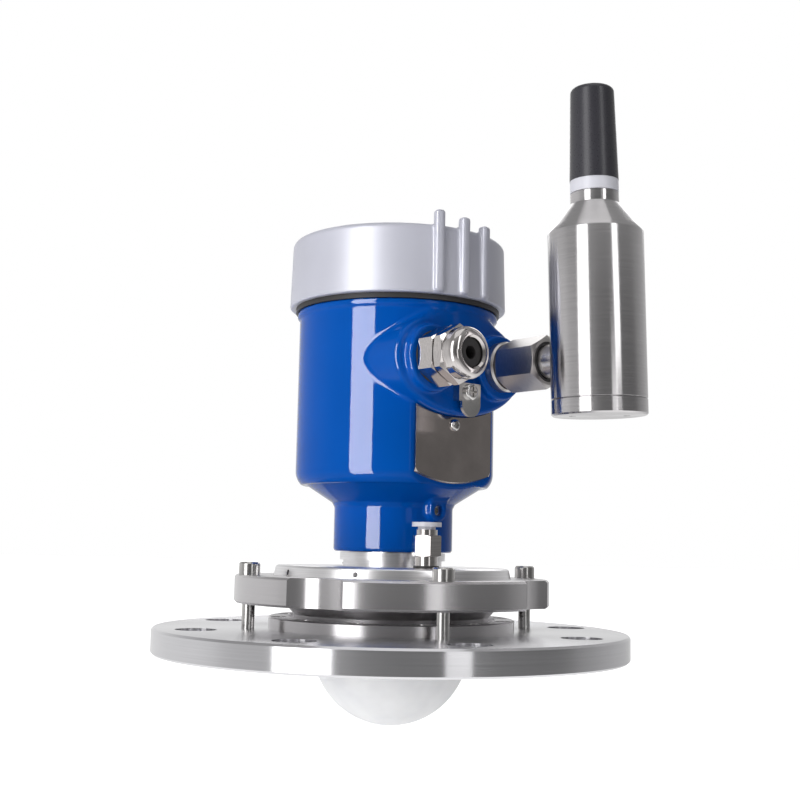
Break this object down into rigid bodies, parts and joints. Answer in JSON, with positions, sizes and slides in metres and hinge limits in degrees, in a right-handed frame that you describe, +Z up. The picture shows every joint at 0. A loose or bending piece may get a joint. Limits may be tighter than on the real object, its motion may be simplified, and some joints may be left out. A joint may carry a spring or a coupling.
{
  "type": "radar level gauge",
  "caption": "Radar level gauge: blue cast housing with screw cover on a ball-joint swivel flange, lens antenna below, cable gland and wireless can with mast antenna on its oval nose.",
  "frame": {"origin": "centre of the process flange at its bottom face, which is also the centre of its hole circle", "axes": "+Z up along the flange and ball-joint axis; -Y faces the viewer of the picture; +X is the right of the picture"},
  "size_m": [0.2286, 0.2286, 0.2923],
  "materials": {
    "flange_steel": "turned stainless steel, fine machining lines",
    "ring_steel": "turned stainless steel, bright",
    "ball_steel": "polished stainless steel",
    "bolt_steel": "stainless steel fasteners",
    "housing_blue": "smooth semi-gloss blue coat on cast aluminium",
    "cover_grey": "smooth pale grey coat on cast aluminium",
    "seal_rubber": "matt black rubber",
    "lens_white": "white fluoropolymer",
    "liner_white": "filled fluoropolymer",
    "nickel": "nickel-plated brass, bright",
    "union_steel": "dull grey steel",
    "radio_steel": "satin stainless steel",
    "radome_dark": "dark grey plastic",
    "plastic_white": "white plastic",
    "plate_metal": "bare satin plate",
    "screw_steel": "small stainless screws",
    "horn_metal": "turned aluminium",
    "board_green": "circuit board laminate",
    "plastic_black": "black moulded plastic",
    "battery_wrap": "shrink sleeve"
  },
  "bodies": {
    "mounting_flange": {"process_flange": "flange_steel", "seat_ring": "ring_steel", "seat_seal": "seal_rubber", "seat_screws": "screw_steel", "clamp_ring": "ring_steel", "clamp_bolts": "bolt_steel"},
    "liner": {"swivel_liner": "liner_white"},
    "ball": {"swivel_ball": "ball_steel", "neck_adapter": "ball_steel", "feed_horn": "horn_metal", "waveguide": "horn_metal", "lens": "lens_white", "lens_seal": "seal_rubber", "neck_seals": "seal_rubber", "purge_body": "nickel", "purge_seal": "seal_rubber"},
    "purge_release": {"purge_collar": "plastic_white"},
    "housing": {"housing": "housing_blue", "lock_screw": "screw_steel", "nameplate": "plate_metal", "nameplate_screw": "screw_steel", "ground_tab": "screw_steel", "ground_screw": "screw_steel", "gland_washer": "seal_rubber", "gland_body": "nickel", "gland_insert": "seal_rubber", "port_nipple": "union_steel", "union_seal": "seal_rubber", "cover_seal": "seal_rubber", "electronics_cup": "plastic_black", "board_posts": "bolt_steel", "signal_board": "board_green", "board_screws": "screw_steel", "board_spacers": "plastic_black", "power_board": "board_green", "cup_lid": "plastic_black", "terminal_block": "plastic_black", "terminal_screws": "nickel"},
    "cover": {"cover": "cover_grey"},
    "gland_nut": {"gland_nut": "nickel"},
    "union_nut": {"union_nut": "union_steel", "union_wiper": "seal_rubber"},
    "radio_unit": {"radio_shell": "radio_steel", "radio_stub": "radio_steel", "radio_battery": "battery_wrap", "battery_holder": "plastic_black", "radio_board": "board_green", "mast_band": "plastic_white", "mast_radome": "radome_dark", "mast_rod": "horn_metal"},
    "radio_cap": {"radio_cap": "radio_steel", "cap_seal": "seal_rubber"}
  },
  "joints": [
    {"name": "ball_turn", "type": "hinge", "parent": "mounting_flange", "child": "liner", "pos_m": [0, 0, 0.027], "axis": [0, 0, 1], "continuous": true},
    {"name": "ball_tilt", "type": "hinge", "parent": "liner", "child": "ball", "pos_m": [0, 0, 0.027], "axis": [1, 0, 0], "range_deg": [-5, 5]},
    {"name": "housing_turn", "type": "hinge", "parent": "ball", "child": "housing", "pos_m": [0, 0, 0.0687], "axis": [0, 0, 1], "range_deg": [-165, 165]},
    {"name": "tube_release", "type": "slide", "parent": "ball", "child": "purge_release", "axis": [0, 0, 1], "range_m": [-0.0012, 0], "stiffness_N_per_m": 1500, "springref_m": 0.0005},
    {"name": "cover_turn", "type": "hinge", "parent": "housing", "child": "cover", "pos_m": [0, 0, 0.1677], "axis": [0, 0, 1], "range_deg": [0, 360]},
    {"name": "gland_nut_turn", "type": "hinge", "parent": "housing", "child": "gland_nut", "pos_m": [0.027, -0.06398, 0.1373], "axis": [0.6561, -0.7547, 0], "range_deg": [0, 360]},
    {"name": "union_nut_turn", "type": "hinge", "parent": "housing", "child": "union_nut", "pos_m": [0.06223, -0.03866, 0.1373], "axis": [0.6561, -0.7547, 0], "range_deg": [0, 360]},
    {"name": "radio_swing", "type": "hinge", "parent": "housing", "child": "radio_unit", "pos_m": [0.08853, -0.06892, 0.1373], "axis": [0.6561, -0.7547, 0], "range_deg": [-92, 88]},
    {"name": "radio_cap_turn", "type": "hinge", "parent": "radio_unit", "child": "radio_cap", "pos_m": [0.08853, -0.06892, 0.1373], "axis": [-0.029, -0.0252, 0.9993], "range_deg": [-360, 0]}
  ]
}
